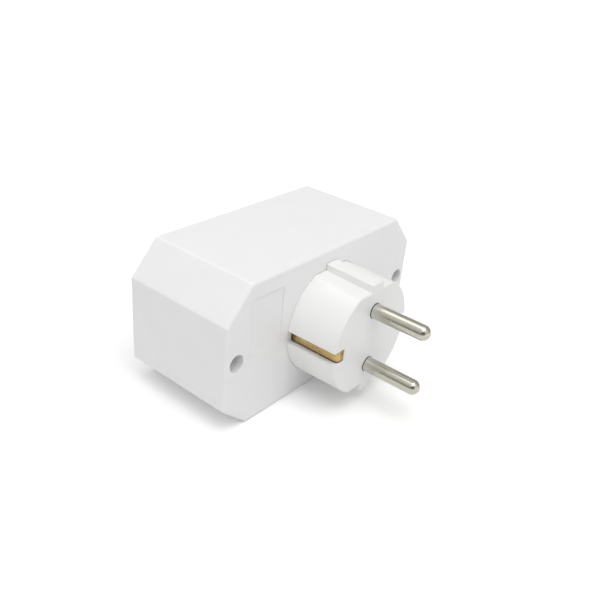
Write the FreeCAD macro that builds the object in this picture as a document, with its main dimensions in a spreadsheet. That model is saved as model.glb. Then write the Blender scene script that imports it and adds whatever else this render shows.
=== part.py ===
# Twin socket adapter: a plug head with two round pins on the back of a faceted housing
# that carries two earthed round sockets side by side in its front.
# The frame: X along the housing, +Y the way the sockets face, Z up. The housing rests on
# its flat foot face, and the origin is under the middle of the whole part. Millimetres.
import FreeCAD, Part
import math
import os
import Sketcher

Vector = FreeCAD.Vector
Z_TURN = Vector(0, 0, 1)
Y_TURN = Vector(0, 1, 0)

# name, value in millimetres or degrees, what it measures
DRIVING_SIZES = [
    ("recess_radius", 19.5, "round recess of a socket"),
    ("recess_deep", 17.5, "front face to recess floor"),
    ("flat_sink", 2.0, "guide flats of a recess inside its round wall"),
    ("cup_wall", 1.3, "wall of a socket cup"),
    ("cup_web", 1.6, "gap between the two cups"),
    ("floor_thick", 3.0, "floor of a socket cup"),
    ("socket_tilt", 45.0, "pins of the sockets, turned from upright"),
    ("side_gap", 0.35, "cup to the side wall of the housing"),
    ("foot_gap", 0.2, "cup to the foot wall of the housing"),
    ("head_room", 1.0, "cup to the top wall of the housing"),
    ("shell_wall", 2.0, "wall of the housing"),
    ("corner_run", 9.5, "long bevels, along X"),
    ("corner_top", 10.5, "upper bevels, along Z"),
    ("corner_foot", 8.5, "lower bevels, along Z"),
    ("edge_round", 1.0, "rounding of the housing's outer edges"),
    ("rim_bevel", 0.5, "bevel round the housing's front"),
    ("tip_gap", 1.5, "tip of a fitted plug's pin to the back wall"),
    ("cover_thick", 2.4, "plate of the front cover"),
    ("cover_gap", 0.15, "seam round the front cover"),
    ("mouth_bevel", 0.7, "bevel at the mouth of a recess"),
    ("seat_thick", 1.6, "ribs that carry the front cover"),
    ("seat_reach", 4.0, "ribs that carry the front cover, into the housing"),
    ("field_wide", 12.8, "blank field on the back, along X"),
    ("field_tall", 18.4, "blank field on the back, along Z"),
    ("field_right", 21.9, "middle of the housing to the field's near edge"),
    ("field_deep", 0.2, "sinking of the blank field"),
    ("head_play", 0.9, "plug head's radius under that of a recess"),
    ("rib_play", 0.2, "guide ribs' radius under that of a recess"),
    ("flat_play", 0.3, "plug head's flats inside those of a recess"),
    ("rib_half", 2.65, "half the width of a guide rib"),
    ("rib_side_play", 0.25, "guide rib to the side of its groove"),
    ("head_deep", 17.5, "plug head, from the back of the housing"),
    ("head_bevel", 0.5, "bevel round the plug head's face"),
    ("head_gap", 0.15, "seam between plug head and housing"),
    ("bore_wall", 1.1, "hollow of the plug head to its earth slots"),
    ("head_face", 3.5, "face wall of the plug head"),
    ("flange_lap", 1.0, "flange of the plug head behind the housing's wall"),
    ("flange_thick", 1.3, "thickness of that flange"),
    ("pin_radius", 2.4, "plug pin"),
    ("pin_long", 19.0, "plug pin outside the head"),
    ("pin_spread", 9.5, "pin to the middle of the plug"),
    ("pin_neck", 0.2, "pin's radius inside the head, under that outside"),
    ("pin_seat_play", 0.05, "pin to its hole in the plug head"),
    ("pin_play", 0.2, "fitted pin to its hole in a socket floor"),
    ("collar_radius", 3.4, "collar of a plug pin"),
    ("collar_thick", 1.2, "thickness of that collar"),
    ("tail_long", 8.0, "flattened tail of a plug pin"),
    ("strip_thick", 0.8, "brass strips"),
    ("strip_half", 1.8, "half the width of the plug's earth strip"),
    ("strip_side_play", 0.2, "earth strip to the side of its slot"),
    ("slot_deep", 1.9, "sinking of the earth strip in the plug head"),
    ("hook_long", 2.8, "earth strip's end, bent over the plug's face"),
    ("strip_sink", 0.1, "bent end under the plug's face"),
    ("strip_bend", 0.6, "inner radius of the bends"),
    ("bow_back", 15.2, "back of the housing to the earth strip's cross piece"),
    ("bar_back", 6.0, "back of the housing to the contact bars"),
    ("bar_wide", 7.0, "contact bars"),
    ("bar_over", 1.6, "contact bars past the contacts"),
    ("leg_half", 3.0, "half the width of a bar's leg to its pin"),
    ("leg_start", 0.5, "collar to the end of a bar's leg"),
    ("sleeve_play", 0.1, "sprung contact under a pin's radius"),
    ("sleeve_wall", 0.6, "sheet of the contacts"),
    ("sleeve_long", 13.3, "contact sleeves"),
    ("sleeve_slit", 1.4, "slit along a contact sleeve"),
    ("sleeve_start", 0.5, "cup floor to the mouth of a contact"),
    ("flag_lift", 0.1, "contact's side tab over its sleeve"),
    ("flag_long", 9.0, "contact's side tab, from the sleeve's middle"),
    ("flag_inset", 0.5, "side tab inside the edges of its bar"),
    ("chamber_play", 0.25, "contact sleeve to the square chamber round its mouth"),
    ("chamber_wall", 1.1, "wall of that chamber"),
    ("chamber_tall", 5.5, "height of that chamber"),
    ("clip_half", 2.5, "half the width of a socket's earth bow"),
    ("clip_play", 0.3, "earth bow to the sides of its slot"),
    ("clip_stand", 3.3, "earth contacts inside the round wall of the recess"),
    ("clip_knee", 2.0, "recess floor to where a clip leans in"),
    ("clip_peak", 9.5, "recess floor to the clip's contact point"),
    ("clip_tip", 14.0, "recess floor to the clip's tip"),
    ("clip_tip_back", 2.0, "lean of the tip, back to the wall"),
    ("link_half", 1.8, "half the width of the earth link"),
    ("link_over", 3.0, "earth link past its rivets"),
    ("rivet_radius", 1.2, "rivet shanks"),
    ("rivet_head", 2.0, "rivet heads"),
    ("rivet_rise", 0.5, "height of the rivet heads"),
    ("post_half", 1.4, "half the width of the posts that hold the earth bows"),
    ("post_spread", 7.0, "middle of a socket to those posts"),
    ("clamp_half", 1.5, "half the width of the posts that hold the plug head"),
    ("clamp_gap", 0.6, "contact bar to those posts"),
    ("clamp_nip", 0.05, "those posts to the plug head's flange"),
    ("well_radius", 2.7, "well of a housing screw"),
    ("well_deep", 6.0, "back of the housing to the screw's seat"),
    ("well_wall", 1.4, "wall of the well"),
    ("well_inset", 0.45, "well's wall to the outside of the housing"),
    ("well_seat", 2.5, "thickness under the screw head"),
    ("screw_radius", 1.25, "screw's core"),
    ("screw_long", 12.0, "screw under its head"),
    ("screw_play", 0.45, "screw to its hole in the seat"),
    ("screw_head_play", 0.2, "screw head to the wall of its well"),
    ("screw_head_tall", 1.8, "height of the screw head"),
    ("screw_bite", 0.02, "screw core to the hole in its boss"),
    ("boss_radius", 3.6, "cover's bosses for the screws"),
    ("boss_half", 2.2, "half of a boss across its flats"),
    ("boss_gap", 0.3, "end of a boss to the screw's seat"),
]

doc = FreeCAD.newDocument("TwinSocketAdapter")
bodies = []


# Sizes

class Size:
    # a measure that knows its number and its formula over the cells of the sheet
    def __init__(self, number, formula):
        self.number = number
        self.formula = formula

    def __neg__(self):
        return Size(-self.number, f"(0 - {self.formula})")

    def __add__(self, other):
        other = as_size(other)
        return Size(self.number + other.number, f"({self.formula} + {other.formula})")

    def __sub__(self, other):
        other = as_size(other)
        return Size(self.number - other.number, f"({self.formula} - {other.formula})")

    def __mul__(self, factor):
        factor = as_size(factor)
        return Size(self.number * factor.number, f"({self.formula} * {factor.formula})")

    def __truediv__(self, divisor):
        divisor = as_size(divisor)
        return Size(self.number / divisor.number, f"({self.formula} / {divisor.formula})")


def as_size(value):
    if isinstance(value, Size):
        return value
    return Size(float(value), f"{value}")


def diagonal(across, up):
    return Size(math.hypot(across.number, up.number),
                f"sqrt({across.formula} * {across.formula} + {up.formula} * {up.formula})")


def third_side(slope, side):
    return Size(math.sqrt(slope.number ** 2 - side.number ** 2),
                f"sqrt({slope.formula} * {slope.formula} - {side.formula} * {side.formula})")


def sine(angle):
    return Size(math.sin(math.radians(angle.number)), f"sin({angle.formula} * 1 deg)")


def cosine(angle):
    return Size(math.cos(math.radians(angle.number)), f"cos({angle.formula} * 1 deg)")


class Measures:
    # one attribute for each driving size, and for each size worked out from them
    pass


def fill_sheet():
    sheet = doc.addObject("Spreadsheet::Sheet", "Sizes")
    s = Measures()
    for row, (name, value, note) in enumerate(DRIVING_SIZES, 1):
        sheet.set(f"A{row}", name)
        sheet.set(f"B{row}", str(value))
        sheet.setAlias(f"B{row}", name)
        sheet.set(f"C{row}", note)
        setattr(s, name, Size(value, f"Sizes.{name}"))
    doc.recompute()
    return s


def work_out(s):
    # the housing is as small as its two cups allow
    s.cup_radius = s.recess_radius + s.cup_wall
    s.recess_flat = s.recess_radius - s.flat_sink
    s.clip_spread = s.recess_radius - s.clip_stand
    s.socket_spread = s.cup_radius + s.cup_web / 2
    s.half_long = s.socket_spread + s.cup_radius + s.side_gap + s.shell_wall
    s.axis_high = s.shell_wall + s.foot_gap + s.cup_radius
    s.body_tall = s.axis_high + s.cup_radius + s.head_room + s.shell_wall
    s.body_deep = s.recess_deep + s.pin_long + s.tip_gap + s.shell_wall
    # planes across Y: the back face, the front face and what stands between them
    s.back = (s.head_deep + s.pin_long - s.body_deep) / 2
    s.front = s.back + s.body_deep
    s.inner_back = s.back + s.shell_wall
    s.plate_back = s.front - s.cover_thick
    s.floor_front = s.front - s.recess_deep
    s.floor_back = s.floor_front - s.floor_thick
    s.head_front = s.back - s.head_deep
    s.head_inside = s.head_front + s.head_face
    s.head_end = s.inner_back + s.flange_thick
    s.bar_low = s.back + s.bar_back
    s.bar_high = s.bar_low + s.bar_wide
    s.link_low = s.back + s.bow_back + s.strip_thick
    s.clip_low = s.link_low + s.strip_thick
    # the plug head follows the recess that it is made to enter
    s.head_radius = s.recess_radius - s.head_play
    s.head_flat = s.recess_flat - s.flat_play
    s.rib_radius = s.recess_radius - s.rib_play
    s.groove_half = s.rib_half + s.rib_side_play
    s.flange_radius = s.head_radius + s.flange_lap
    s.leg_outer = s.head_radius - s.slot_deep
    s.leg_inner = s.leg_outer - s.strip_thick
    s.hook_in = s.leg_outer - s.hook_long
    s.head_bore = s.leg_inner - s.bore_wall
    s.slot_half = s.strip_half + s.strip_side_play
    # where the contacts of a turned socket lie, from the middle of that socket
    s.contact_across = s.pin_spread * sine(s.socket_tilt)
    s.contact_up = s.pin_spread * cosine(s.socket_tilt)
    s.sleeve_inner = s.pin_radius - s.sleeve_play
    s.sleeve_outer = s.sleeve_inner + s.sleeve_wall
    s.flag_top = s.sleeve_outer + s.flag_lift
    s.bar_up = s.contact_up + s.flag_top
    s.tail_flat = s.bar_up - s.pin_spread
    # the posts that hold the plug head stand on the middle of its flange, just past the contact bars
    s.clamp_up = s.bar_up + s.strip_thick + s.clamp_gap + s.clamp_half
    s.clamp_across = third_side((s.head_bore + s.flange_radius) / 2, s.clamp_up)
    s.pin_hole = s.pin_radius + s.pin_play
    s.neck_radius = s.pin_radius - s.pin_neck
    # the housing screws
    s.screw_high = s.body_tall / 2
    s.screw_spread = s.half_long - s.well_inset - s.well_wall - s.well_radius
    s.seat = s.back + s.well_deep
    s.seat_end = s.seat + s.well_seat
    s.boss_start = s.seat_end + s.boss_gap
    s.screw_head_radius = s.well_radius - s.screw_head_play
    return s


# Sketches and features

def new_body(name):
    body = doc.addObject("PartDesign::Body", name)
    body.Label = name
    bodies.append(body)
    return body


def bind(thing, path, size):
    thing.setExpression(path, as_size(size).formula)


def place_body(body, x=0, y=0, z=0, turn=0, about=Y_TURN):
    body.Placement = FreeCAD.Placement(Vector(0, 0, 0), FreeCAD.Rotation(about, as_size(turn).number))
    bind(body, "Placement.Base.x", x)
    bind(body, "Placement.Base.y", y)
    bind(body, "Placement.Base.z", z)
    if turn:
        bind(body, "Placement.Rotation.Angle", turn)


def origin_feature(body, role):
    return [f for f in body.Origin.OriginFeatures if f.Role == role][0]


def new_sketch(body, role, name, across=0, up=0, along=0, turn=0):
    sketch = body.newObject("Sketcher::SketchObject", name)
    sketch.AttachmentSupport = [(origin_feature(body, role), "")]
    sketch.MapMode = "FlatFace"
    place = [as_size(value) for value in (across, up, along)]
    angle = as_size(turn)
    sketch.AttachmentOffset = FreeCAD.Placement(
        Vector(*[size.number for size in place]), FreeCAD.Rotation(Z_TURN, angle.number))
    for letter, size in zip("xyz", place):
        bind(sketch, f"AttachmentOffset.Base.{letter}", size)
    if turn:
        bind(sketch, "AttachmentOffset.Rotation.Angle", angle)
    return sketch


def extrude(kind, body, name, axis, low, high, draw, across=0, up=0, turn=0):
    # a Pad or a Pocket from low to high along the body's own Y or Z; the XZ plane faces -Y
    along_y = axis == "Y"
    role = "XZ_Plane" if along_y else "XY_Plane"
    low, high = as_size(low), as_size(high)
    sketch = new_sketch(body, role, name + "_sketch", across, up, -low if along_y else low, turn)
    draw(sketch)
    feature = body.newObject("PartDesign::" + kind, name)
    feature.Profile = sketch
    feature.Reversed = along_y == (kind == "Pad")
    bind(feature, "Length", high - low)
    return feature


def pad(body, name, axis, low, high, draw, **place):
    return extrude("Pad", body, name, axis, low, high, draw, **place)


def pocket(body, name, axis, low, high, draw, **place):
    return extrude("Pocket", body, name, axis, low, high, draw, **place)


def revolve(body, name, draw):
    # a turned piece: the sketch's upright axis is the body's Y
    sketch = new_sketch(body, "XY_Plane", name + "_sketch")
    draw(sketch)
    feature = body.newObject("PartDesign::Revolution", name)
    feature.Profile = sketch
    feature.ReferenceAxis = (sketch, ["V_Axis"])
    feature.Angle = 360.0
    return feature


def soften(kind, body, name, size, wanted):
    # rounds or bevels the edges of the body so far that the test wanted() accepts
    doc.recompute()
    base = body.Tip
    names = [f"Edge{k}" for k, edge in enumerate(base.Shape.Edges, 1) if wanted(edge)]
    feature = body.newObject("PartDesign::" + kind, name)
    feature.Base = (base, names)
    bind(feature, "Radius" if kind == "Fillet" else "Size", size)
    return feature


def pin_down(sketch, curve, point, x, y):
    for kind, axis, value in (("DistanceX", -2, as_size(x)), ("DistanceY", -1, as_size(y))):
        if value.formula == "0":
            sketch.addConstraint(Sketcher.Constraint("PointOnObject", curve, point, axis))
            continue
        index = sketch.addConstraint(Sketcher.Constraint(kind, -1, 1, curve, point, value.number))
        bind(sketch, f"Constraints[{index}]", value)


def draw_circle(sketch, radius, x=0, y=0):
    radius, centre = as_size(radius), Vector(as_size(x).number, as_size(y).number, 0)
    curve = sketch.addGeometry(Part.Circle(centre, Z_TURN, radius.number), False)
    pin_down(sketch, curve, 3, x, y)
    index = sketch.addConstraint(Sketcher.Constraint("Radius", curve, radius.number))
    bind(sketch, f"Constraints[{index}]", radius)


def draw_ring(sketch, inner, outer, x=0, y=0):
    draw_circle(sketch, inner, x, y)
    draw_circle(sketch, outer, x, y)


def draw_outline(sketch, points):
    # straight runs from point to point, closed
    spots = [Vector(as_size(x).number, as_size(y).number, 0) for x, y in points]
    first = sketch.GeometryCount
    count = len(points)
    for k in range(count):
        sketch.addGeometry(Part.LineSegment(spots[k], spots[(k + 1) % count]), False)
    for k in range(count):
        following = first + (k + 1) % count
        sketch.addConstraint(Sketcher.Constraint("Coincident", first + k, 2, following, 1))
    for k, (x, y) in enumerate(points):
        pin_down(sketch, first + k, 1, x, y)


def draw_block(sketch, left, right, low, high):
    draw_outline(sketch, [(left, low), (right, low), (right, high), (left, high)])


def draw_barrel(sketch, radius, half, upright=False):
    # a circle cut off by two chords: at top and bottom, or at both sides where it is upright
    r, h = radius.number, half.number
    start = -math.asin(h / r) + (math.pi / 2 if upright else 0)
    sweep = 2 * math.asin(h / r)
    if upright:
        start, sweep = math.acos(h / r), math.pi - 2 * math.acos(h / r)
    circle = Part.Circle(Vector(0, 0, 0), Z_TURN, r)
    arcs = [Part.ArcOfCircle(circle, start + turn, start + sweep + turn) for turn in (0, math.pi)]
    near, far = [sketch.addGeometry(arc, False) for arc in arcs]
    ends = [arc.value(arc.LastParameter) for arc in arcs]
    starts = [arc.value(arc.FirstParameter) for arc in arcs]
    over = sketch.addGeometry(Part.LineSegment(ends[0], starts[1]), False)
    under = sketch.addGeometry(Part.LineSegment(ends[1], starts[0]), False)
    for a, b in ((near, over), (over, far), (far, under), (under, near)):
        sketch.addConstraint(Sketcher.Constraint("Coincident", a, 2, b, 1))
    for arc in (near, far):
        sketch.addConstraint(Sketcher.Constraint("Coincident", arc, 3, -1, 1))
    index = sketch.addConstraint(Sketcher.Constraint("Radius", near, r))
    bind(sketch, f"Constraints[{index}]", radius)
    sketch.addConstraint(Sketcher.Constraint("Equal", near, far))
    for line, side in ((over, -half if upright else half), (under, half if upright else -half)):
        sketch.addConstraint(Sketcher.Constraint("Vertical" if upright else "Horizontal", line))
        kind = "DistanceX" if upright else "DistanceY"
        index = sketch.addConstraint(Sketcher.Constraint(kind, -1, 1, line, 1, side.number))
        bind(sketch, f"Constraints[{index}]", side)


def draw_housing(sketch, s, inset):
    # the eight-sided section of the housing, moved inwards by inset
    inset = as_size(inset)
    top_slope = diagonal(s.corner_run, s.corner_top)
    foot_slope = diagonal(s.corner_run, s.corner_foot)
    side = s.half_long - inset
    top = s.body_tall - inset
    foot = inset
    top_x = s.half_long - s.corner_run - inset * (top_slope - s.corner_run) / s.corner_top
    top_z = s.body_tall - s.corner_top - inset * (top_slope - s.corner_top) / s.corner_run
    foot_x = s.half_long - s.corner_run - inset * (foot_slope - s.corner_run) / s.corner_foot
    foot_z = s.corner_foot + inset * (foot_slope - s.corner_foot) / s.corner_run
    draw_outline(sketch, [
        (foot_x, foot), (side, foot_z), (side, top_z), (top_x, top),
        (-top_x, top), (-side, top_z), (-side, foot_z), (-foot_x, foot)])


def both_sides(size):
    return (("right", size), ("left", -size))


def across(sign, near, far):
    return (near, far) if sign > 0 else (-far, -near)


# Housing, cover and plug head

def make_rear_housing(s):
    body = new_body("rear_housing")
    pad(body, "prism", "Y", s.back, s.front, lambda k: draw_housing(k, s, 0))
    front = s.front.number

    def at_front(edge):
        return all(abs(v.Y - front) < 0.01 for v in edge.Vertexes)
    soften("Fillet", body, "outer_rounding", s.edge_round, lambda edge: not at_front(edge))
    soften("Chamfer", body, "rim", s.rim_bevel, at_front)
    pocket(body, "hollow", "Y", s.inner_back, s.front, lambda k: draw_housing(k, s, s.shell_wall))
    for side, x in both_sides(s.screw_spread):
        pad(body, f"{side}_well", "Y", s.back + s.shell_wall / 2, s.seat_end,
            lambda k: draw_circle(k, s.well_radius + s.well_wall), across=x, up=s.screw_high)
        pocket(body, f"{side}_well_bore", "Y", s.back, s.seat,
               lambda k: draw_circle(k, s.well_radius), across=x, up=s.screw_high)
        pocket(body, f"{side}_screw_hole", "Y", s.seat, s.seat_end,
               lambda k: draw_circle(k, s.screw_radius + s.screw_play), across=x, up=s.screw_high)
    pocket(body, "head_opening", "Y", s.back, s.inner_back,
           lambda k: draw_barrel(k, s.head_radius + s.head_gap, s.head_flat + s.head_gap), up=s.axis_high)
    pocket(body, "rib_opening", "Y", s.back, s.inner_back,
           lambda k: draw_barrel(k, s.rib_radius + s.head_gap, s.rib_half + s.head_gap, upright=True),
           up=s.axis_high)
    add_cover_seats(body, s)
    add_bar_rests(body, s)
    pocket(body, "blank_field", "Y", s.back, s.back + s.field_deep,
           lambda k: draw_block(k, -s.field_right - s.field_wide, -s.field_right,
                                s.axis_high, s.axis_high + s.field_tall))


def add_cover_seats(body, s):
    # six ribs along the inside, which the front cover's plate rests on
    half = s.seat_thick / 2
    wall = s.shell_wall / 2
    for name, x, start in (("right", s.half_long - s.corner_run, s.inner_back - wall),
                           ("middle", as_size(0), s.head_end + s.boss_gap),
                           ("left", s.corner_run - s.half_long, s.inner_back - wall)):
        for level, low, high in (
                ("upper", s.body_tall - s.shell_wall - s.seat_reach, s.body_tall - wall),
                ("lower", wall, s.shell_wall + s.seat_reach)):
            pad(body, f"{level}_{name}_seat", "Y", start, s.plate_back,
                lambda k: draw_block(k, -half, half, low, high), across=x)


def add_bar_rests(body, s):
    # four low ribs on the back wall, under the outer ends of the contact bars
    half = s.seat_thick / 2
    middle = s.bar_up + s.strip_thick / 2
    for level, z in (("upper", middle), ("lower", -middle)):
        for side, x in both_sides(s.flange_radius + s.seat_thick):
            pad(body, f"{level}_{side}_rest", "Y", s.inner_back - s.shell_wall / 2, s.bar_low,
                lambda k: draw_block(k, -half, half, -s.leg_half, s.leg_half),
                across=x, up=s.axis_high + z)


def make_front_cover(s):
    body = new_body("front_cover")
    pad(body, "plate", "Y", s.plate_back, s.front,
        lambda k: draw_housing(k, s, s.shell_wall + s.cover_gap))
    for side, x in both_sides(s.socket_spread):
        spot = dict(across=x, up=s.axis_high)
        pad(body, f"{side}_cup", "Y", s.floor_back, s.front, lambda k: draw_circle(k, s.cup_radius), **spot)
    for side, x in both_sides(s.socket_spread):
        add_recess(body, s, side, dict(across=x, up=s.axis_high, turn=s.socket_tilt))
    for side, x in both_sides(s.screw_spread):
        spot = dict(across=x, up=s.screw_high)
        pad(body, f"{side}_boss", "Y", s.boss_start, s.floor_back + s.floor_thick / 2,
            lambda k: draw_barrel(k, s.boss_radius, s.boss_half, upright=True), **spot)
        pocket(body, f"{side}_pilot", "Y", s.boss_start, s.floor_back + s.floor_thick / 3,
               lambda k: draw_circle(k, s.screw_radius + s.screw_bite), **spot)
    for side, sign in (("right", 1), ("left", -1)):
        half = s.clamp_half
        pad(body, f"{side}_clamp", "Y", s.head_end + s.clamp_nip, s.floor_back + s.floor_thick / 2,
            lambda k: draw_block(k, -half, half, -half, half),
            across=s.clamp_across * sign, up=s.axis_high + s.clamp_up * sign)


def add_recess(body, s, side, spot):
    # in the socket's own turned frame its pins lie one above the other
    pocket(body, f"{side}_recess", "Y", s.floor_front, s.front,
           lambda k: draw_barrel(k, s.recess_radius, s.recess_flat), **spot)
    pocket(body, f"{side}_grooves", "Y", s.floor_front, s.front,
           lambda k: draw_barrel(k, s.recess_radius, s.groove_half, upright=True), **spot)
    front, middle, reach = s.front.number, spot["across"].number, s.recess_radius.number + 0.1

    def at_mouth(edge):
        return all(abs(v.Y - front) < 0.01 and abs(v.X - middle) < reach for v in edge.Vertexes)
    soften("Chamfer", body, f"{side}_mouth", s.mouth_bevel, at_mouth)
    for level, sign in (("upper", 1), ("lower", -1)):
        inner = s.sleeve_outer + s.chamber_play

        def draw_chamber(sketch):
            for half in (inner + s.chamber_wall, inner):
                draw_block(sketch, -half, half, -half, half)
        pad(body, f"{side}_{level}_chamber", "Y", s.floor_back - s.chamber_tall, s.floor_back, draw_chamber,
            across=spot["across"] - s.contact_across * sign, up=spot["up"] + s.contact_up * sign)
        pocket(body, f"{side}_{level}_hole", "Y", s.floor_back, s.floor_front,
               lambda k: draw_circle(k, s.pin_hole, 0, s.pin_spread * sign), **spot)
    half = s.clip_half + s.clip_play
    for edge, sign in (("right", 1), ("left", -1)):
        near, far = across(sign, s.recess_radius - s.clip_play, s.cup_radius + s.cup_wall)
        pocket(body, f"{side}_{edge}_slot", "Y", s.floor_back, s.plate_back,
               lambda k: draw_block(k, near, far, -half, half), **spot)
    thin = s.post_half
    for edge, x in both_sides(s.post_spread):
        pad(body, f"{side}_{edge}_post", "Y", s.clip_low + s.strip_thick, s.floor_back + s.floor_thick / 2,
            lambda k: draw_block(k, x - thin, x + thin, -thin, thin), **spot)


def make_plug_head(s):
    # its own frame lies on the plug's axis
    body = new_body("plug_head")
    pad(body, "barrel", "Y", s.head_front, s.inner_back, lambda k: draw_barrel(k, s.head_radius, s.head_flat))
    face = s.head_front.number
    soften("Chamfer", body, "face_bevel", s.head_bevel,
           lambda edge: all(abs(v.Y - face) < 0.01 for v in edge.Vertexes))
    pad(body, "ribs", "Y", s.head_front, s.inner_back,
        lambda k: draw_barrel(k, s.rib_radius, s.rib_half, upright=True))
    pad(body, "flange", "Y", s.inner_back, s.head_end, lambda k: draw_circle(k, s.flange_radius))
    pocket(body, "hollow", "Y", s.head_inside, s.head_end, lambda k: draw_circle(k, s.head_bore))
    for level, z in (("upper", s.pin_spread), ("lower", -s.pin_spread)):
        pocket(body, f"{level}_pin_hole", "Y", s.head_front, s.head_inside,
               lambda k: draw_circle(k, s.neck_radius + s.pin_seat_play, 0, z))
    hook_end = s.head_front + s.strip_sink + s.strip_thick
    for side, sign in (("right", 1), ("left", -1)):
        for name, low, high, near, far in (
                ("slot", s.head_front, s.back, s.leg_inner, s.flange_radius),
                ("slit", s.back, s.head_end, s.leg_inner, s.leg_outer + s.pin_seat_play),
                ("hook_seat", s.head_front, hook_end, s.hook_in - s.strip_side_play, s.flange_radius)):
            left, right = across(sign, near, far)
            pocket(body, f"{side}_{name}", "Y", low, high,
                   lambda k: draw_block(k, left, right, -s.slot_half, s.slot_half))
    bend = (s.leg_inner.number, hook_end.number)
    soften("Fillet", body, "bend_rounding", s.strip_bend + s.pin_seat_play, lambda edge: math.hypot(
        abs(edge.CenterOfMass.x) - bend[0], edge.CenterOfMass.y - bend[1]) < 0.01)
    place_body(body, z=s.axis_high)


# Plug pins and current carriers

def make_pin(s, name, turn):
    # turned from rod: round nose, neck in the face wall, collar behind it and a flattened tail
    body = new_body(name)
    nose = s.head_front - s.pin_long
    collar_end = s.head_inside + s.collar_thick
    tail_end = collar_end + s.tail_long
    neck = s.neck_radius
    dome = [(s.pin_radius * sine(angle), nose + s.pin_radius - s.pin_radius * cosine(angle))
            for angle in (as_size(30), as_size(60))]
    revolve(body, "turned_form", lambda k: draw_outline(k, [(0, nose)] + dome + [
        (s.pin_radius, nose + s.pin_radius), (s.pin_radius, s.head_front), (neck, s.head_front),
        (neck, s.head_inside), (s.collar_radius, s.head_inside), (s.collar_radius, collar_end),
        (neck, collar_end), (neck, tail_end), (0, tail_end)]))
    pocket(body, "tail_flat", "Y", collar_end, tail_end,
           lambda k: draw_block(k, -s.collar_radius, s.collar_radius, s.tail_flat, s.collar_radius))
    pocket(body, "rivet_hole", "Z", -s.collar_radius, s.collar_radius,
           lambda k: draw_circle(k, s.rivet_radius, 0, collar_end + s.tail_long / 2))
    place_body(body, x=s.pin_spread * sine(as_size(turn)), z=s.axis_high + s.pin_spread * cosine(as_size(turn)),
               turn=turn)


def make_bar(s, name, turn):
    # a flat T: the cross strip joins two contacts, and the leg reaches into the plug head to the pin
    body = new_body(name)
    first = -s.socket_spread - s.contact_across
    second = s.socket_spread - s.contact_across
    leg_end = s.head_inside + s.collar_thick + s.leg_start
    left, right = first - s.bar_over, second + s.flag_long

    def outline(sketch):
        draw_outline(sketch, [
            (left, s.bar_low), (-s.leg_half, s.bar_low), (-s.leg_half, leg_end), (s.leg_half, leg_end),
            (s.leg_half, s.bar_low), (right, s.bar_low), (right, s.bar_high), (left, s.bar_high)])
        draw_circle(sketch, s.rivet_radius, 0, s.head_inside + s.collar_thick + s.tail_long / 2)
    pad(body, "blank", "Z", s.bar_up, s.bar_up + s.strip_thick, outline)
    place_body(body, z=s.axis_high, turn=turn)


def make_contact(s, name, x, z, turn):
    # a strip rolled to a slit sleeve, with its end left flat as a tab that is welded to the bar
    body = new_body(name)
    mouth = s.floor_back - s.sleeve_start
    pad(body, "sleeve", "Y", mouth - s.sleeve_long, mouth,
        lambda k: draw_ring(k, s.sleeve_inner, s.sleeve_outer))
    half = s.sleeve_slit / 2
    pocket(body, "slit", "Y", mouth - s.sleeve_long, mouth,
           lambda k: draw_block(k, -half, half, -s.sleeve_outer - s.flag_lift, 0))
    pad(body, "tab", "Y", s.bar_low + s.flag_inset, s.bar_high - s.flag_inset,
        lambda k: draw_block(k, 0, s.flag_long, s.flag_top - s.sleeve_wall, s.flag_top))
    place_body(body, x=x, z=z, turn=turn)


def make_plug_earth_strip(s):
    # a U of strip: both ends lie in the plug head's slots and hook over its face
    body = new_body("plug_earth_strip")
    hook_low = s.head_front + s.strip_sink
    hook_high = hook_low + s.strip_thick
    cross_low = s.back + s.bow_back
    cross_high = cross_low + s.strip_thick
    half = [(s.hook_in, hook_low), (s.leg_outer, hook_low), (s.leg_outer, cross_high)]
    inside = [(s.leg_inner, cross_low), (s.leg_inner, hook_high), (s.hook_in, hook_high)]
    outline = half + mirrored(half) + mirrored(inside) + inside
    pad(body, "bent_strip", "Z", -s.strip_half, s.strip_half, lambda k: draw_outline(k, outline))
    round_bends(body, s, [(s.leg_outer, hook_low), (s.leg_outer, cross_high)],
                [(s.leg_inner, hook_high), (s.leg_inner, cross_low)])
    pocket(body, "rivet_hole", "Y", cross_low, cross_high, lambda k: draw_circle(k, s.rivet_radius))
    place_body(body, z=s.axis_high)


def mirrored(points):
    return [(-x, y) for x, y in reversed(points)]


def round_bends(body, s, outer, inner):
    # rounds the upright edges at these points, and at their mirror images
    def at(points):
        spots = [(x.number, y.number) for x, y in points]

        def wanted(edge):
            centre = edge.CenterOfMass
            upright = edge.BoundBox.ZLength > 1
            return upright and any(math.hypot(abs(centre.x) - x, centre.y - y) < 0.01 for x, y in spots)
        return wanted
    soften("Fillet", body, "outer_bends", s.strip_bend + s.strip_thick, at(outer))
    soften("Fillet", body, "inner_bends", s.strip_bend, at(inner))


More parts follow.
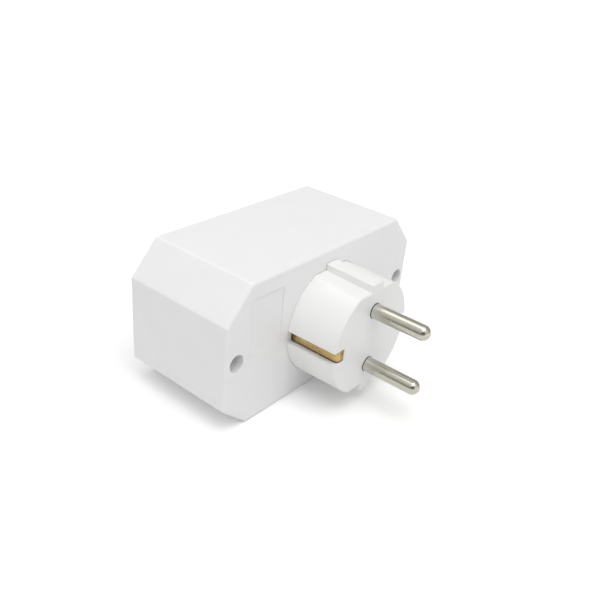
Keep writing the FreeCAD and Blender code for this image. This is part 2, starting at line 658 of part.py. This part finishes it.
def make_socket_earth_bow(s, name, x):
    # a bow of spring strip behind the cup's floor; its ends rise through the wall and lean into the recess
    body = new_body(name)
    thick = s.strip_thick
    wall = s.recess_radius
    knee = s.floor_front + s.clip_knee
    peak = s.floor_front + s.clip_peak
    tip = s.floor_front + s.clip_tip
    outside = [(s.clip_spread + s.clip_tip_back + thick, tip), (s.clip_spread + thick, peak),
               (wall + thick, knee), (wall + thick, s.clip_low)]
    inside = [(wall, s.clip_low + thick), (wall, knee), (s.clip_spread, peak),
              (s.clip_spread + s.clip_tip_back, tip)]
    outline = outside + mirrored(outside) + mirrored(inside) + inside
    pad(body, "bent_strip", "Z", -s.clip_half, s.clip_half, lambda k: draw_outline(k, outline))
    round_bends(body, s, [(wall + thick, s.clip_low), (s.clip_spread + thick, peak)],
                [(wall, s.clip_low + thick), (s.clip_spread, peak)])
    pocket(body, "rivet_hole", "Y", s.clip_low, s.clip_low + thick, lambda k: draw_circle(k, s.rivet_radius))
    place_body(body, x=x, z=s.axis_high, turn=-s.socket_tilt)


def make_earth_link(s):
    body = new_body("earth_link")
    end = s.socket_spread + s.link_over

    def outline(sketch):
        draw_block(sketch, -end, end, -s.link_half, s.link_half)
        for x in (-s.socket_spread, as_size(0), s.socket_spread):
            draw_circle(sketch, s.rivet_radius, x if x.number else 0, 0)
    pad(body, "strip", "Y", s.link_low, s.link_low + s.strip_thick, outline)
    place_body(body, z=s.axis_high)


# Fasteners

def make_rivet(s, name, grip, x, y, z, turn, about):
    # its shank runs along the body's Y from the first sheet, at zero, through the grip
    body = new_body(name)
    revolve(body, "turned_form", lambda k: draw_outline(k, [
        (0, -s.rivet_rise), (s.rivet_head, -s.rivet_rise), (s.rivet_head, 0), (s.rivet_radius, 0),
        (s.rivet_radius, grip), (s.rivet_head, grip), (s.rivet_head, grip + s.rivet_rise),
        (0, grip + s.rivet_rise)]))
    place_body(body, x, y, z, turn, about)


def make_rivets(s):
    up, x_turn = as_size(90), Vector(1, 0, 0)
    tail = s.head_inside + s.collar_thick + s.tail_long / 2
    for level, sign in (("upper", 1), ("lower", -1)):
        make_rivet(s, f"{level}_pin_rivet", s.neck_radius + s.tail_flat + s.strip_thick, 0, tail,
                   s.axis_high + (s.pin_spread - s.neck_radius) * sign, up * sign, x_turn)
    for side, x in (("left", -s.socket_spread), ("middle", as_size(0)), ("right", s.socket_spread)):
        low = s.link_low - s.strip_thick if side == "middle" else s.link_low
        make_rivet(s, f"{side}_earth_rivet", s.strip_thick * 2, x, low, s.axis_high, as_size(0), x_turn)


def make_screw(s, name, x):
    body = new_body(name)
    head = s.screw_head_radius
    end = s.seat + s.screw_long
    revolve(body, "turned_form", lambda k: draw_outline(k, [
        (0, s.seat - s.screw_head_tall), (head, s.seat - s.screw_head_tall), (head, s.seat),
        (s.screw_radius, s.seat), (s.screw_radius, end), (0, end)]))
    arm, half = head * 0.6, head * 0.12
    for way, across, along in (("level", arm, half), ("upright", half, arm)):
        pocket(body, f"{way}_recess", "Y", s.seat - s.screw_head_tall, s.seat - s.screw_head_tall / 3,
               lambda k: draw_block(k, -across, across, -along, along))
    place_body(body, x=x, z=s.screw_high)


# Making, checking and writing

def make_all(s):
    make_rear_housing(s)
    make_front_cover(s)
    make_plug_head(s)
    half_turn = as_size(180)
    make_pin(s, "upper_pin", as_size(0))
    make_pin(s, "lower_pin", half_turn)
    make_bar(s, "upper_contact_bar", as_size(0))
    make_bar(s, "lower_contact_bar", half_turn)
    outer = s.socket_spread + s.contact_across
    inner = s.socket_spread - s.contact_across
    high, low = s.axis_high + s.contact_up, s.axis_high - s.contact_up
    make_contact(s, "left_upper_contact", -outer, high, as_size(0))
    make_contact(s, "right_upper_contact", inner, high, as_size(0))
    make_contact(s, "left_lower_contact", -inner, low, half_turn)
    make_contact(s, "right_lower_contact", outer, low, half_turn)
    make_plug_earth_strip(s)
    make_socket_earth_bow(s, "left_earth_bow", -s.socket_spread)
    make_socket_earth_bow(s, "right_earth_bow", s.socket_spread)
    make_earth_link(s)
    make_rivets(s)
    make_screw(s, "left_screw", -s.screw_spread)
    make_screw(s, "right_screw", s.screw_spread)


def check_all():
    faults = []
    for thing in doc.Objects:
        if "Invalid" in thing.State or "Error" in thing.State:
            faults.append(f"{thing.Name} {thing.State}")
        if thing.TypeId == "PartDesign::Pocket" and thing.BaseFeature is not None:
            if thing.BaseFeature.Shape.Volume - thing.Shape.Volume < 1e-3:
                faults.append(f"{thing.Name} cuts nothing")
    for body in bodies:
        if body.Shape.isNull() or not body.Shape.isValid():
            faults.append(f"{body.Label} has no valid shape")
        elif len(body.Shape.Solids) != 1:
            faults.append(f"{body.Label} is {len(body.Shape.Solids)} solids")
    if faults:
        raise RuntimeError("; ".join(faults))


def write_all():
    os.makedirs("parts", exist_ok=True)
    for body in bodies:
        body.Shape.exportStep(f"parts/{body.Label}.step")
        print(body.Label, f"{body.Shape.Volume:.1f} mm3")


sizes = work_out(fill_sheet())
make_all(sizes)
doc.recompute()
check_all()
write_all()
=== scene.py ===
# Looks of the twin socket adapter: materials, redrawn pins and plug head, floor, light and camera.
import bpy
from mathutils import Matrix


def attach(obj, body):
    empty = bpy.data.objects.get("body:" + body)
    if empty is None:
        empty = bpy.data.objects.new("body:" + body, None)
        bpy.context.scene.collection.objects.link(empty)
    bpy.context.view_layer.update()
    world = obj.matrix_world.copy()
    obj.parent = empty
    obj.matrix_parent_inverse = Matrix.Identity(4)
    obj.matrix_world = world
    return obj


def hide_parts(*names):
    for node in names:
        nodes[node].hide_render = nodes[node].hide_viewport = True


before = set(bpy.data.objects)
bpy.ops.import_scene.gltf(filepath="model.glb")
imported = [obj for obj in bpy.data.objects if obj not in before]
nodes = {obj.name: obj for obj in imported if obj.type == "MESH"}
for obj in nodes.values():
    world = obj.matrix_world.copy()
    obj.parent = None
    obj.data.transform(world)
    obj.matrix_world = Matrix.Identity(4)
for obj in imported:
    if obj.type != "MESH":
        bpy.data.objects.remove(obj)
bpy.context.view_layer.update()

import math

import bmesh
import bpy
import numpy as np
from mathutils import Matrix, Vector

mm = 0.001
sharpFrom = math.radians(35)     # edges that bend by more stay sharp
scene = bpy.context.scene


# colour and node helpers

asColour = dict(data_type="RGBA")
greater = dict(operation="MAXIMUM")


def linear(hexColour):
    # sRGB hex to the linear values that the shader wants
    parts = [int(hexColour[i:i + 2], 16) / 255 for i in (1, 3, 5)]
    return [c / 12.92 if c <= 0.04045 else ((c + 0.055) / 1.055) ** 2.4 for c in parts] + [1.0]


def addNode(tree, kind, settings=None, **inputs):
    # settings are the node's own properties, inputs are values or the sockets that feed it, and an
    # input without a name of its own is told by its number: i0, i1 and so on
    node = tree.nodes.new("ShaderNode" + kind)
    for key, value in (settings or {}).items():
        setattr(node, key, value)
    for key, value in inputs.items():
        numbered = key[0] == "i" and key[1:].isdigit()
        socket = node.inputs[int(key[1:]) if numbered else key.replace("_", " ")]
        if isinstance(value, bpy.types.NodeSocket):
            tree.links.new(value, socket)
        else:
            socket.default_value = value
    return node


def seenShare(tree):
    # 1 for rays of the camera and for those by way of metal or glass, 0 for light on the part
    path = addNode(tree, "LightPath").outputs
    seen = addNode(tree, "Math", greater, i0=path["Is Camera Ray"], i1=path["Is Glossy Ray"])
    seen = addNode(tree, "Math", greater, i0=seen.outputs[0], i1=path["Is Transmission Ray"])
    return seen.outputs[0]


def newMaterial(name):
    material = bpy.data.materials.new(name)
    material.use_nodes = True
    material.node_tree.nodes.clear()
    return material, material.node_tree


def finishMaterial(tree, shader):
    addNode(tree, "OutputMaterial", Surface=shader.outputs[0])


def newObject(name, mesh, material=None):
    made = bpy.data.objects.new(name, mesh)
    scene.collection.objects.link(made)
    if material:
        mesh.materials.append(material)
    return made


def smoothMesh(mesh):
    mesh.polygons.foreach_set("use_smooth", np.ones(len(mesh.polygons), dtype=bool))
    mesh.set_sharp_from_angle(angle=sharpFrom)


def dress(objects, material):
    for o in objects:
        o.data.materials.clear()
        o.data.materials.append(material)
    print("dressed", material.name, "on", ", ".join(o.name for o in objects))


# white thermoplastic, moulded in a finely eroded tool: satin, with soft broad reflections

mouldedPlastic = {
    "housing": dict(colour="#F3F3F3", shade="#EFEFEF", roughness=0.42),
    "cover": dict(colour="#F3F3F3", shade="#EFEFEF", roughness=0.42),
    "head": dict(colour="#F4F4F3", shade="#F0F0EF", roughness=0.38),
    "ior": 1.52, "glossSpread": 0.03,                           # roughness, more and less
    "grainSize": 0.35, "grainDetail": 3.0,     # mm; the tool's grain is finer, drawn as coarse as it shows
    "grainHeight": 0.012,                                       # mm
    "waveSize": 14.0, "waveHeight": 0.03, "waveDetail": 1.0,    # mm, sink over ribs and wells
    "mottleSize": 9.0, "mottleDetail": 4.0,                     # mm, clouds of the colour
    "edge": 0.25, "edgeSamples": 6,                             # mm, softening of the sharp edges
}


def makeMouldedPlastic(name, finish):
    v = mouldedPlastic
    material, tree = newMaterial(name)
    place = addNode(tree, "TexCoord").outputs["Object"]
    grain = addNode(tree, "TexNoise", Vector=place, Scale=1 / (v["grainSize"] * mm),
                    Detail=v["grainDetail"])
    wave = addNode(tree, "TexNoise", Vector=place, Scale=1 / (v["waveSize"] * mm),
                   Detail=v["waveDetail"])
    mottle = addNode(tree, "TexNoise", Vector=place, Scale=1 / (v["mottleSize"] * mm),
                     Detail=v["mottleDetail"])
    colour = addNode(tree, "Mix", asColour, i0=mottle.outputs[0], i6=linear(finish["shade"]),
                     i7=linear(finish["colour"]))
    gloss = addNode(tree, "MapRange", Value=mottle.outputs[0], i3=finish["roughness"] - v["glossSpread"],
                    i4=finish["roughness"] + v["glossSpread"])
    soft = addNode(tree, "Bevel", dict(samples=v["edgeSamples"]), Radius=v["edge"] * mm)
    swell = addNode(tree, "Bump", Strength=1.0, Distance=v["waveHeight"] * mm, Height=wave.outputs[0],
                    Normal=soft.outputs[0])
    rough = addNode(tree, "Bump", Strength=1.0, Distance=v["grainHeight"] * mm, Height=grain.outputs[0],
                    Normal=swell.outputs[0])
    shader = addNode(tree, "BsdfPrincipled", Base_Color=colour.outputs[2], Roughness=gloss.outputs[0],
                     IOR=v["ior"], Normal=rough.outputs[0])
    finishMaterial(tree, shader)
    return material


# nickel-plated brass, turned from rod: warm grey mirror, drawn out along the pin by the tool's marks

turnedNickel = {
    "colour": "#CAC7BA", "shade": "#B0ADA1", "roughness": 0.12, "glossSpread": 0.03,
    "cloudSize": 3.0, "cloudDetail": 5.0,                       # mm
    "feed": 0.1, "markHeight": 0.026, "markDetail": 4.0,        # mm, from one turned mark to the next
    "roundTheRod": (0.02, 1.0, 0.02),                           # the marks change along Y only
    "paintedReflection": "#D6D4CF", "paintedReflectionTo": -23.5,     # mm along Y: painted reflection of the head's white face, the plate paler towards the head
    # painted shade: the bead and the pin within the head's face are dark, as the seam's shadow
    "paintedSeamShade": "#3B3834", "paintedSeamFrom": -19.5, "paintedSeamTo": -19.48,
}


def makeTurnedNickel():
    v = turnedNickel
    material, tree = newMaterial("turnedNickelPlatedBrass")
    place = addNode(tree, "TexCoord").outputs["Object"]
    along = addNode(tree, "SeparateXYZ", Vector=place).outputs["Y"]
    drawn = addNode(tree, "Mapping", Scale=v["roundTheRod"], Vector=place)
    marks = addNode(tree, "TexNoise", Vector=drawn.outputs[0], Scale=1 / (v["feed"] * mm),
                    Detail=v["markDetail"])
    cloud = addNode(tree, "TexNoise", Vector=place, Scale=1 / (v["cloudSize"] * mm),
                    Detail=v["cloudDetail"])
    worn = addNode(tree, "Mix", asColour, i0=cloud.outputs[0], i6=linear(v["shade"]),
                   i7=linear(v["colour"]))
    # painted reflection: the pin turns paler towards the head's face, from 4 mm out
    paintedReflection = addNode(tree, "MapRange", Value=along, i1=v["paintedReflectionTo"] * mm, i2=v["paintedSeamFrom"] * mm)
    plate = addNode(tree, "Mix", asColour, i0=paintedReflection.outputs[0], i6=worn.outputs[2], i7=linear(v["paintedReflection"]))
    # painted shade of the seam where the pin enters the head's face
    paintedSeamShade = addNode(tree, "MapRange", Value=along, i1=v["paintedSeamFrom"] * mm, i2=v["paintedSeamTo"] * mm)
    colour = addNode(tree, "Mix", asColour, i0=paintedSeamShade.outputs[0], i6=plate.outputs[2],
                     i7=linear(v["paintedSeamShade"]))
    gloss = addNode(tree, "MapRange", Value=cloud.outputs[0], i3=v["roughness"] - v["glossSpread"],
                    i4=v["roughness"] + v["glossSpread"])
    rings = addNode(tree, "Bump", Strength=1.0, Distance=v["markHeight"] * mm, Height=marks.outputs[0])
    shader = addNode(tree, "BsdfPrincipled", Base_Color=colour.outputs[2], Metallic=1.0,
                     Roughness=gloss.outputs[0], Normal=rings.outputs[0])
    finishMaterial(tree, shader)
    return material


# bare brass, rolled, stamped and bent: yellow, with fine rolling lines and a slightly tarnished skin

rolledBrass = {
    "strip": dict(colour="#D8B266", shade="#A98341", roughness=0.3),
    "contact": dict(colour="#D9B468", shade="#B08A48", roughness=0.26),
    "earth": dict(colour="#D9C589", shade="#A07C46", roughness=0.24),
    "rivet": dict(colour="#D2AC62", shade="#9C7A40", roughness=0.28),
    "duller": 0.1, "brighter": 0.04,                            # roughness, where tarnished and where bare
    "lineSize": 0.12, "lineHeight": 0.002, "lineDetail": 3.0,   # mm, rolling lines
    "alongTheRoll": (1.0, 0.03, 1.0),                           # the lines run along Y
    "tarnishSize": 4.0, "tarnishDetail": 6.0, "tarnishRoughness": 0.65,     # mm
    "paintedGapShade": "#44361A", "paintedGapFrom": 21.6, "paintedGapTo": 21.45,    # mm up: painted shade of the gap along the plug strip's lower edge
    "deepFrom": -3.8, "deepTo": -1.6,                           # mm along Y: painted shade on its end deep in the housing
}


def makeRolledBrass(name, finish, paintedSlotShade=False):
    # if set, painted shade on the plug's earth strip: dark along its lower edge, where the gap to the
    # slot's wall lies in shadow, and at its end deep in the housing
    v = rolledBrass
    material, tree = newMaterial(name)
    place = addNode(tree, "TexCoord").outputs["Object"]
    drawn = addNode(tree, "Mapping", Scale=v["alongTheRoll"], Vector=place)
    lines = addNode(tree, "TexNoise", Vector=drawn.outputs[0], Scale=1 / (v["lineSize"] * mm),
                    Detail=v["lineDetail"])
    tarnish = addNode(tree, "TexNoise", Vector=place, Scale=1 / (v["tarnishSize"] * mm),
                      Detail=v["tarnishDetail"], Roughness=v["tarnishRoughness"])
    colour = addNode(tree, "Mix", asColour, i0=tarnish.outputs[0], i6=linear(finish["shade"]),
                     i7=linear(finish["colour"]))
    if paintedSlotShade:
        # painted shade of the gap and of the deep end, mixed over the brass
        spot = addNode(tree, "SeparateXYZ", Vector=place).outputs
        low = addNode(tree, "MapRange", Value=spot["Z"], i1=v["paintedGapFrom"] * mm, i2=v["paintedGapTo"] * mm)
        deep = addNode(tree, "MapRange", Value=spot["Y"], i1=v["deepFrom"] * mm, i2=v["deepTo"] * mm)
        either = addNode(tree, "Math", greater, i0=low.outputs[0], i1=deep.outputs[0])
        colour = addNode(tree, "Mix", asColour, i0=either.outputs[0], i6=colour.outputs[2],
                         i7=linear(v["paintedGapShade"]))
    gloss = addNode(tree, "MapRange", Value=tarnish.outputs[0], i3=finish["roughness"] + v["duller"],
                    i4=finish["roughness"] - v["brighter"])
    rolled = addNode(tree, "Bump", Strength=1.0, Distance=v["lineHeight"] * mm, Height=lines.outputs[0])
    shader = addNode(tree, "BsdfPrincipled", Base_Color=colour.outputs[2], Metallic=1.0,
                     Roughness=gloss.outputs[0], Normal=rolled.outputs[0])
    finishMaterial(tree, shader)
    return material


# steel screws, cold headed and zinc plated: pale grey, faintly blue, a little cloudy

platedSteel = {
    "colour": "#C4C6C9", "shade": "#8F9297", "roughness": 0.32, "duller": 0.08, "brighter": 0.05,
    "cloudSize": 0.8, "cloudDetail": 5.0, "pitHeight": 0.004,   # mm
}


def makePlatedSteel():
    v = platedSteel
    material, tree = newMaterial("zincPlatedSteel")
    place = addNode(tree, "TexCoord").outputs["Object"]
    cloud = addNode(tree, "TexNoise", Vector=place, Scale=1 / (v["cloudSize"] * mm),
                    Detail=v["cloudDetail"])
    colour = addNode(tree, "Mix", asColour, i0=cloud.outputs[0], i6=linear(v["shade"]),
                     i7=linear(v["colour"]))
    gloss = addNode(tree, "MapRange", Value=cloud.outputs[0], i3=v["roughness"] + v["duller"],
                    i4=v["roughness"] - v["brighter"])
    pits = addNode(tree, "Bump", Strength=1.0, Distance=v["pitHeight"] * mm, Height=cloud.outputs[0])
    shader = addNode(tree, "BsdfPrincipled", Base_Color=colour.outputs[2], Metallic=1.0,
                     Roughness=gloss.outputs[0], Normal=pits.outputs[0])
    finishMaterial(tree, shader)
    return material


def pick(*endings):
    return [o for name, o in sorted(nodes.items()) if name.endswith(endings)]


headWhite = makeMouldedPlastic("mouldedWhitePlugHead", mouldedPlastic["head"])
pinNickel = makeTurnedNickel()
dress(pick("rear_housing"), makeMouldedPlastic("mouldedWhiteHousing", mouldedPlastic["housing"]))
dress(pick("front_cover"), makeMouldedPlastic("mouldedWhiteCover", mouldedPlastic["cover"]))
dress(pick("plug_head"), headWhite)
dress(pick("contact_bar", "earth_link"), makeRolledBrass("rolledBrassStrip", rolledBrass["strip"]))
dress(pick("_contact"), makeRolledBrass("rolledBrassContact", rolledBrass["contact"]))
dress(pick("earth_bow"), makeRolledBrass("bentBrassEarth", rolledBrass["earth"]))
dress(pick("earth_strip"), makeRolledBrass("paintedShadeBrassEarth", rolledBrass["earth"], paintedSlotShade=True))
dress(pick("rivet"), makeRolledBrass("headedBrassRivet", rolledBrass["rivet"]))
dress(pick("_screw"), makePlatedSteel())


# the plug's pins, turned to a true round nose, with a bead where the head's face grips them, painted dark
# as the seam's shade

plugPin = {
    "face": -19.25, "inside": -15.75, "collarEnd": -14.55, "tailEnd": -6.55,     # mm along Y
    "axisHigh": 23.0, "spread": 9.5, "long": 19.0, "tailFlat": 0.2,
    "radius": 2.4, "neck": 2.2, "collar": 3.4, "noseSteps": 24, "turnSteps": 96,
    "beadWide": 0.2, "beadFoot": 0.26, "beadHigh": 0.14,     # mm from the face, and out of the pin
}


def makePin(name, side):
    # each profile point (y, r) is carried round the pin's axis: x = r cos t, z = r sin t, and the
    # tail's half towards the contact bar is pressed flat: z is at most tailFlat there
    v = plugPin
    nose = v["face"] - v["long"]
    a = np.linspace(0, np.pi / 2, v["noseSteps"] + 1)
    dome = np.stack([nose + v["radius"] * (1 - np.cos(a)), v["radius"] * np.sin(a)], axis=1)
    bead = v["radius"] + v["beadHigh"]
    rest = np.array([
        (v["face"] - v["beadFoot"], v["radius"]), (v["face"] - v["beadWide"], bead), (v["face"], bead),
        (v["face"], v["neck"]), (v["inside"], v["neck"]), (v["inside"], v["collar"]),
        (v["collarEnd"], v["collar"]), (v["collarEnd"], v["neck"]), (v["tailEnd"], v["neck"])])
    profile = np.concatenate([dome[1:], rest])
    t = np.arange(v["turnSteps"]) * 2 * np.pi / v["turnSteps"]
    x = profile[:, 1:] * np.cos(t)
    z = profile[:, 1:] * np.sin(t)
    z[-2:] = np.minimum(z[-2:], v["tailFlat"])
    y = np.repeat(profile[:, :1], len(t), axis=1)
    grid = np.stack([x, y, z], axis=2).reshape(-1, 3)
    ends = np.array([(0, nose, 0), (0, v["tailEnd"], 0)])
    spots = np.concatenate([grid, ends])
    spots[:, 2] = v["axisHigh"] + side * (v["spread"] + spots[:, 2])
    rows, count = len(profile), len(t)
    k = np.arange(rows * count).reshape(rows, count)
    following = np.roll(k, -1, axis=1)
    walls = np.stack([k[:-1], k[1:], following[1:], following[:-1]], axis=2).reshape(-1, 4)
    tip = np.stack([np.full(count, rows * count), k[0], following[0]], axis=1)
    tail = np.stack([np.full(count, rows * count + 1), following[-1], k[-1]], axis=1)
    if side < 0:
        walls, tip, tail = walls[:, ::-1], tip[:, ::-1], tail[:, ::-1]
    mesh = bpy.data.meshes.new(name)
    mesh.from_pydata((spots * mm).tolist(), [], walls.tolist() + tip.tolist() + tail.tolist())
    smoothMesh(mesh)
    pin = newObject(name, mesh, pinNickel)
    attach(pin, "root")
    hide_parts("upper_pin" if side > 0 else "lower_pin")
    print("turned", name)


makePin("upperTurnedPin", 1)
makePin("lowerTurnedPin", -1)


# the plug head with its mould draft: round wall, flats and ribs draw in towards the face

headDraft = {
    "wallInside": 0.25, "face": -19.25, "axisHigh": 23.0,       # mm, along Y and up
    "round": 18.6, "flat": 17.2, "rib": 19.3,                   # as the solid has them, without draft
    "roundAtWall": 18.7, "flatAtWall": 17.3, "ribAtWall": 19.4,
    "roundAtFace": 18.4, "flatAtFace": 16.3, "ribAtFace": 18.7,
    "ribHalf": 2.65, "bevel": 0.5, "bevelLeft": 0.5,            # the bevel round the face keeps this share
    "turnFrom": 15.0,                                           # degrees from the slots, points turn beyond
    "play": 0.05, "outPlay": 0.1, "flatPlay": 0.2,              # mm, to tell which form a point is on
    "ribFoot": 0.3, "ribEdge": 0.01, "weld": 0.001,
}


def draftPoints(x, y, z):
    # share q runs from 0 at the housing's wall to 1 at the face. Points of the round wall, the flats and
    # the ribs' tops move in by q of their draft. The round wall's points also turn about the axis, so
    # that they still end at the flats, and all within the bevel are drawn closer to the edge
    v = headDraft
    wide, high, far = np.abs(x), np.abs(z), np.hypot(x, z)
    q = np.clip((v["wallInside"] - y) / (v["wallInside"] - v["face"]), 0, 1)

    def drafted(form):
        return v[form + "AtWall"] + q * (v[form + "AtFace"] - v[form + "AtWall"])

    skin = (y < v["wallInside"] + v["play"]) & (far < v["rib"] + v["outPlay"])
    near = v["bevel"] + v["play"]
    flatEnd = math.sqrt(v["round"] ** 2 - v["flat"] ** 2)
    onRib = skin & (wide < v["ribHalf"] + v["play"]) & (high > v["flat"] + v["ribFoot"])
    onFlat = skin & (high > v["flat"] - near) & (wide < flatEnd + v["flatPlay"]) & ~onRib
    onRound = skin & (far > v["round"] - near) & ~onFlat & ~onRib
    under = np.where(onFlat, v["flat"] - high, np.where(onRound, v["round"] - far, 0)) * v["bevelLeft"]
    roundNow = drafted("round") - under
    flatNow = drafted("flat") - under
    share = np.clip((wide - v["ribHalf"]) / (flatEnd - v["ribHalf"]), 0, 1)
    besideRib = v["ribHalf"] + share * (np.sqrt(roundNow ** 2 - flatNow ** 2) - v["ribHalf"])
    wideOnFlat = np.where(wide > v["ribHalf"] + v["ribEdge"], besideRib, wide)
    turn = np.degrees(np.arctan2(high, wide))
    endTurn = math.degrees(math.asin(v["flat"] / v["round"]))
    turning = np.clip((turn - v["turnFrom"]) / (endTurn - v["turnFrom"]), 0, 1)
    turnNow = np.radians(turn + turning * (np.degrees(np.arcsin(flatNow / roundNow)) - endTurn))
    wideNow = np.where(onFlat, wideOnFlat, np.where(onRound, roundNow * np.cos(turnNow), wide))
    highNow = np.where(onFlat, flatNow, np.where(onRound, roundNow * np.sin(turnNow), high))
    highNow = np.where(onRib, high + drafted("rib") - v["rib"], highNow)
    inBevel = (onFlat | onRound) & (y < v["face"] + near)
    yNow = np.where(inBevel, v["face"] + (y - v["face"]) * v["bevelLeft"], y)
    return wideNow * np.where(x < 0, -1, 1), yNow, highNow * np.where(z < 0, -1, 1)


def makeDraftedHead():
    # a copy of the node's mesh with its points moved, and welded where facets of one face had been split
    v = headDraft
    source = nodes["plug_head"]
    mesh = source.data.copy()
    mesh.name = "draftedPlugHead"
    mesh.transform(source.matrix_world)
    spots = np.empty(len(mesh.vertices) * 3)
    mesh.vertices.foreach_get("co", spots)
    spots = spots.reshape(-1, 3) / mm
    x, y, z = draftPoints(spots[:, 0], spots[:, 1], spots[:, 2] - v["axisHigh"])
    moved = np.stack([x, y, z + v["axisHigh"]], axis=1) * mm
    mesh.vertices.foreach_set("co", moved.ravel())
    welded = bmesh.new()
    welded.from_mesh(mesh)
    bmesh.ops.remove_doubles(welded, verts=welded.verts, dist=v["weld"] * mm)
    welded.to_mesh(mesh)
    welded.free()
    for kept in [a for a in mesh.attributes if a.name == "custom_normal"]:
        mesh.attributes.remove(kept)
    smoothMesh(mesh)
    mesh.materials.clear()
    head = newObject("draftedPlugHead", mesh, headWhite)
    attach(head, "root")
    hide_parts("plug_head")
    print("drafted the plug head,", len(mesh.polygons), "faces")


makeDraftedHead()


# floor, world, lamp and cards

white = (1, 1, 1, 1)
floorLooks = {
    "colour": "#E6E6E6", "half": 6.0,                           # m
    "seenColour": 1.09, "lift": 0.03,                           # what the eye and bright metal see
    "farLift": 0.6, "nearBy": 0.08, "farOff": 0.4,              # the lift grows from nearBy to farOff, m
}


def makeFloor():
    # a pale sheet under the part, white where no shadow falls: the eye and bright metal see it paler
    # than it is, and lifted more the farther it lies from the part and from the lamp
    v = floorLooks
    half = v["half"]
    corners = [(-half, -half, 0), (half, -half, 0), (half, half, 0), (-half, half, 0)]
    mesh = bpy.data.meshes.new("floor")
    mesh.from_pydata(corners, [], [(0, 1, 2, 3)])
    material, tree = newMaterial("paleFloor")
    seen = seenShare(tree)
    place = addNode(tree, "TexCoord").outputs["Object"]
    away = addNode(tree, "VectorMath", dict(operation="LENGTH"), i0=place)
    lift = addNode(tree, "MapRange", Value=away.outputs["Value"], i1=v["nearBy"], i2=v["farOff"],
                   i3=v["lift"], i4=v["farLift"])
    amount = addNode(tree, "Math", dict(operation="MULTIPLY"), i0=seen, i1=lift.outputs[0])
    shade = addNode(tree, "Mix", asColour, i0=seen, i6=linear(v["colour"]),
                    i7=[v["seenColour"]] * 3 + [1.0])
    sheet = addNode(tree, "BsdfDiffuse", Color=shade.outputs[2])
    glow = addNode(tree, "Emission", Color=white, Strength=amount.outputs[0])
    finishMaterial(tree, addNode(tree, "AddShader", i0=sheet.outputs[0], i1=glow.outputs[0]))
    floor = newObject("floor", mesh, material)


def makeWorld(strength):
    # white to the eye and in bright metal, and dimmer as light on the part
    world = bpy.data.worlds.new("studio")
    world.use_nodes = True
    scene.world = world
    tree = world.node_tree
    tree.nodes.clear()
    around = addNode(tree, "Background", Color=white, Strength=strength)
    backdrop = addNode(tree, "Background", Color=white, Strength=1.0)
    mix = addNode(tree, "MixShader", i0=seenShare(tree), i1=around.outputs[0], i2=backdrop.outputs[0])
    addNode(tree, "OutputWorld", Surface=mix.outputs[0])


def addLamp(name, place, target, size, watts):
    light = bpy.data.lights.new(name, "AREA")
    light.shape = "SQUARE"
    light.size = size
    light.energy = watts
    lamp = newObject(name, light)
    lamp.location = place
    lamp.rotation_mode = "QUATERNION"
    lamp.rotation_quaternion = (Vector(place) - Vector(target)).to_track_quat("Z", "Y")


def standing(start, end, low, high):
    # corners of an upright card over the floor line from start to end
    return [(*start, low), (*end, low), (*end, high), (*start, high)]


cards = {     # strength and corners, m
    "rightCard": (0.55, standing((0.3, -0.5), (0.3, 1.2), 0, 0.65)),
    "upperCard": (2.2, [(-0.3, -0.3, 0.95), (0.2, -0.3, 0.95), (0.2, 1.1, 0.95), (-0.3, 1.1, 0.95)]),
    "leftCard": (0.8, standing((-0.6, -0.6), (-0.6, 1.2), 0.1, 0.62)),
    "lowCard": (0.36, standing((-0.14, -0.35), (-0.14, 0.5), 0, 0.07)),
    "cameraCard": (0.1, standing((-0.47, -0.1), (-0.19, -0.44), 0, 0.32)),
}


def addCard(name, level, corners):
    # a card round the set, as a photographer stands one: it gives no light, only glossy surfaces show it
    mesh = bpy.data.meshes.new(name)
    mesh.from_pydata(corners, [], [(0, 1, 2, 3)])
    material, tree = newMaterial(name)
    finishMaterial(tree, addNode(tree, "Emission", Color=white, Strength=level))
    card = newObject(name, mesh, material)
    card.visible_camera = card.visible_diffuse = card.visible_shadow = card.visible_transmission = False


makeFloor()
makeWorld(strength=0.675)
addLamp("overhead", place=(-0.15, -0.22, 0.9), target=(0, 0, 0.02), size=0.7, watts=3.45)
for name, (level, corners) in cards.items():
    addCard(name, level, corners)
print("lit")


# the photograph's own camera, found from the part's corners, pins and wells

photoCamera = {
    "place": (-161.475, -114.708, 136.842), "yaw": 52.507, "pitch": 28.975, "roll": 5.432,     # mm, degrees
    "focal": 717.573, "picture": 600,                           # pixels
    "sensor": 36.0, "nearest": 0.01, "farthest": 20.0,          # mm, and m
}


def makeCamera():
    v = photoCamera
    yaw, pitch, roll = (math.radians(v[key]) for key in ("yaw", "pitch", "roll"))
    ahead = Vector((math.sin(yaw) * math.cos(pitch), math.cos(yaw) * math.cos(pitch), -math.sin(pitch)))
    level = ahead.cross(Vector((0, 0, 1))).normalized()
    upright = level.cross(ahead)
    right = level * math.cos(roll) + upright * math.sin(roll)
    up = upright * math.cos(roll) - level * math.sin(roll)
    data = bpy.data.cameras.new("photoCamera")
    data.sensor_width = v["sensor"]
    data.lens = v["sensor"] * v["focal"] / v["picture"]
    data.clip_start, data.clip_end = v["nearest"], v["farthest"]
    camera = newObject("photoCamera", data)
    turned = Matrix((right, up, -ahead)).transposed().to_4x4()
    camera.matrix_world = Matrix.Translation(Vector(v["place"]) * mm) @ turned
    scene.camera = camera


makeCamera()
scene.view_settings.view_transform = "Standard"
print("camera set")
